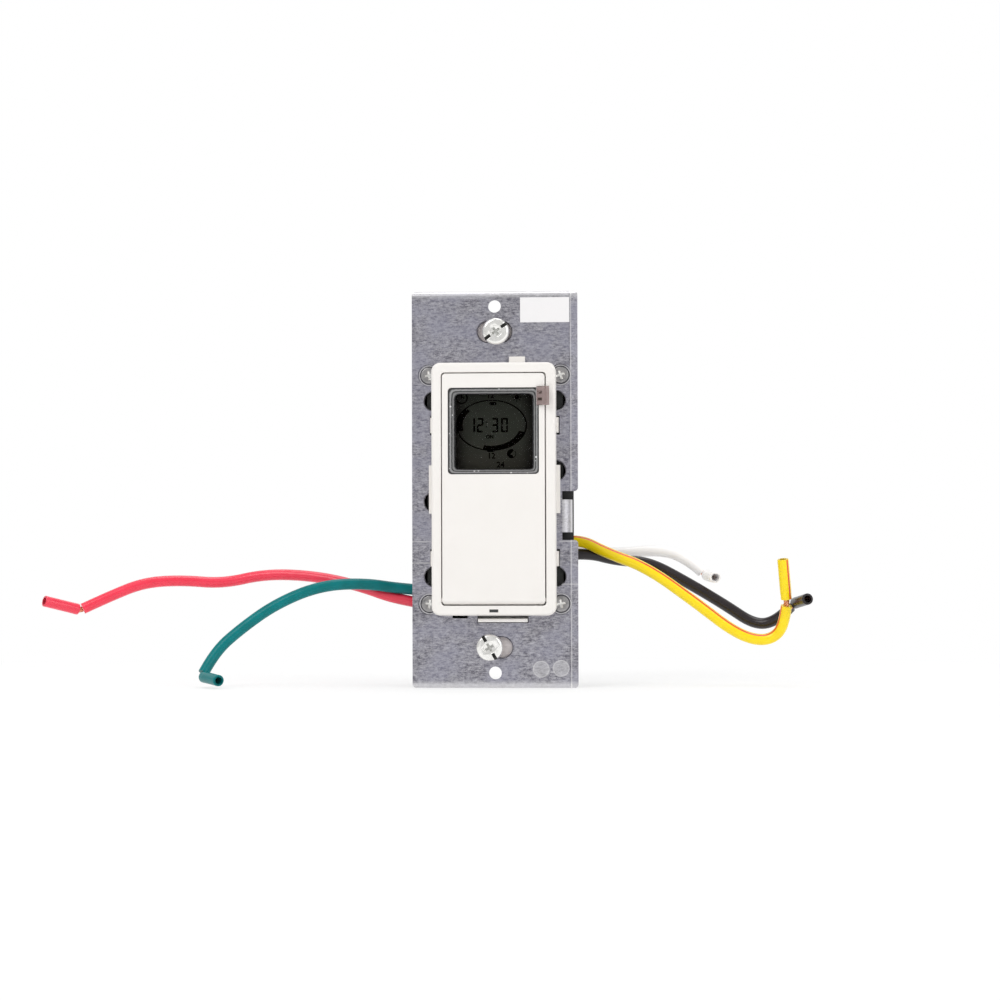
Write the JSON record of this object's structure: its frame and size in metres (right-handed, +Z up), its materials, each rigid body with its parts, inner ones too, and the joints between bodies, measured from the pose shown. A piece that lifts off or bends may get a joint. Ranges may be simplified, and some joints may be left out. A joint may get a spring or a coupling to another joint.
{
  "type": "timer light switch",
  "caption": "Wall switch with a built-in timer: a hinged push pad with a display window in a frame on a metal strap, a closed rear housing and loose wiring leads.",
  "frame": {"origin": "midway between the two wall plate holes, in the strap's back face, which lies on the wall", "axes": "+X to the right seen from the front, -Y out of the wall to the front, +Z up"},
  "size_m": [0.2112, 0.0409, 0.1048],
  "materials": {
    "strap": "brushed",
    "label": "printed sticker",
    "white_plastic": "satin",
    "button_plastic": "satin",
    "clear_plastic": "clear",
    "film": "clear film",
    "display_glass": "gloss",
    "light_plate": "satin",
    "contact_rubber": "matte",
    "black_plastic": "fine texture",
    "sheet": "matte",
    "board": "solder mask",
    "switch_metal": "satin",
    "cell": "satin",
    "chip": "moulded",
    "led": "gloss",
    "brass": "bright",
    "copper": "bright copper",
    "zinc_steel": "zinc plated",
    "dark_steel": "dark plated",
    "fibre": "pressed fibre",
    "relay_case": "satin",
    "film_cap": "satin",
    "varistor": "dipped",
    "can_sleeve": "sleeve",
    "winding": "enamelled wire",
    "diode_body": "moulded",
    "resistor_body": "lacquered",
    "red_insulation": "satin",
    "green_insulation": "satin",
    "yellow_insulation": "satin, striped",
    "black_insulation": "satin",
    "white_insulation": "satin"
  },
  "bodies": {
    "switch_body": {"mounting_strap": "strap", "rating_label": "label", "frame": "white_plastic", "tact_switches": "switch_metal", "display_holder": "black_plastic", "display_glass": "display_glass", "display_light_plate": "light_plate", "display_contact_strip": "contact_rubber", "control_board": "board", "board_screws": "zinc_steel", "processor": "chip", "clock_crystal": "switch_metal", "backup_cell": "cell", "cell_clip": "switch_metal", "link_header": "black_plastic", "link_pins": "brass", "light_pipe": "clear_plastic", "status_led": "led", "insulating_sheet": "sheet", "air_gap_leaves": "brass", "rear_housing": "black_plastic", "housing_screws": "dark_steel", "power_board": "board", "relay": "relay_case", "film_capacitor": "film_cap", "varistor": "varistor", "electrolytic_capacitors": "can_sleeve", "choke": "winding", "rectifier_diodes": "diode_body", "fuse_resistor": "resistor_body", "lead_terminals": "brass", "lead_conductors": "copper", "lead_red": "red_insulation", "stub_red": "red_insulation", "lead_green": "green_insulation", "stub_green": "green_insulation", "lead_yellow": "yellow_insulation", "stub_yellow": "yellow_insulation", "lead_black": "black_insulation", "stub_black": "black_insulation", "lead_white": "white_insulation", "stub_white": "white_insulation"},
    "push_pad": {"push_pad": "white_plastic", "display_window": "clear_plastic", "window_film": "film"},
    "air_gap_tab": {"air_gap_tab": "white_plastic", "bridge_contact": "brass"},
    "up_button": {"up_button": "button_plastic"},
    "down_button": {"down_button": "button_plastic"},
    "mode_button": {"mode_button": "button_plastic"},
    "set_button": {"set_button": "button_plastic"},
    "reset_button": {"reset_button": "button_plastic"},
    "override_plunger": {"override_plunger": "button_plastic"},
    "top_box_screw": {"top_box_screw": "zinc_steel", "top_screw_washer": "fibre"},
    "bottom_box_screw": {"bottom_box_screw": "zinc_steel", "bottom_screw_washer": "fibre"}
  },
  "joints": [
    {"name": "pad_hinge", "type": "hinge", "parent": "switch_body", "child": "push_pad", "pos_m": [0, -0.0069, -0.02895], "axis": [1, 0, 0], "range_deg": [-1, 96]},
    {"name": "air_gap_pull", "type": "slide", "parent": "switch_body", "child": "air_gap_tab", "axis": [0, -1, 0], "range_m": [0, 0.003]},
    {"name": "up_button_press", "type": "slide", "parent": "switch_body", "child": "up_button", "axis": [0, 1, 0], "range_m": [0, 0.0004], "stiffness_N_per_m": 300},
    {"name": "down_button_press", "type": "slide", "parent": "switch_body", "child": "down_button", "axis": [0, 1, 0], "range_m": [0, 0.0004], "stiffness_N_per_m": 300},
    {"name": "mode_button_press", "type": "slide", "parent": "switch_body", "child": "mode_button", "axis": [0, 1, 0], "range_m": [0, 0.0004], "stiffness_N_per_m": 300},
    {"name": "set_button_press", "type": "slide", "parent": "switch_body", "child": "set_button", "axis": [0, 1, 0], "range_m": [0, 0.0004], "stiffness_N_per_m": 300},
    {"name": "reset_button_press", "type": "slide", "parent": "switch_body", "child": "reset_button", "axis": [0, 1, 0], "range_m": [0, 0.0004], "stiffness_N_per_m": 300},
    {"name": "override_plunger_press", "type": "slide", "parent": "switch_body", "child": "override_plunger", "axis": [0, 1, 0], "range_m": [0, 0.0004], "stiffness_N_per_m": 300},
    {"name": "top_screw_slide", "type": "slide", "parent": "switch_body", "child": "top_box_screw", "axis": [1, 0, 0], "range_m": [-0.0031, 0.0023]},
    {"name": "bottom_screw_slide", "type": "slide", "parent": "switch_body", "child": "bottom_box_screw", "axis": [1, 0, 0], "range_m": [-0.00125, 0.00415]}
  ]
}
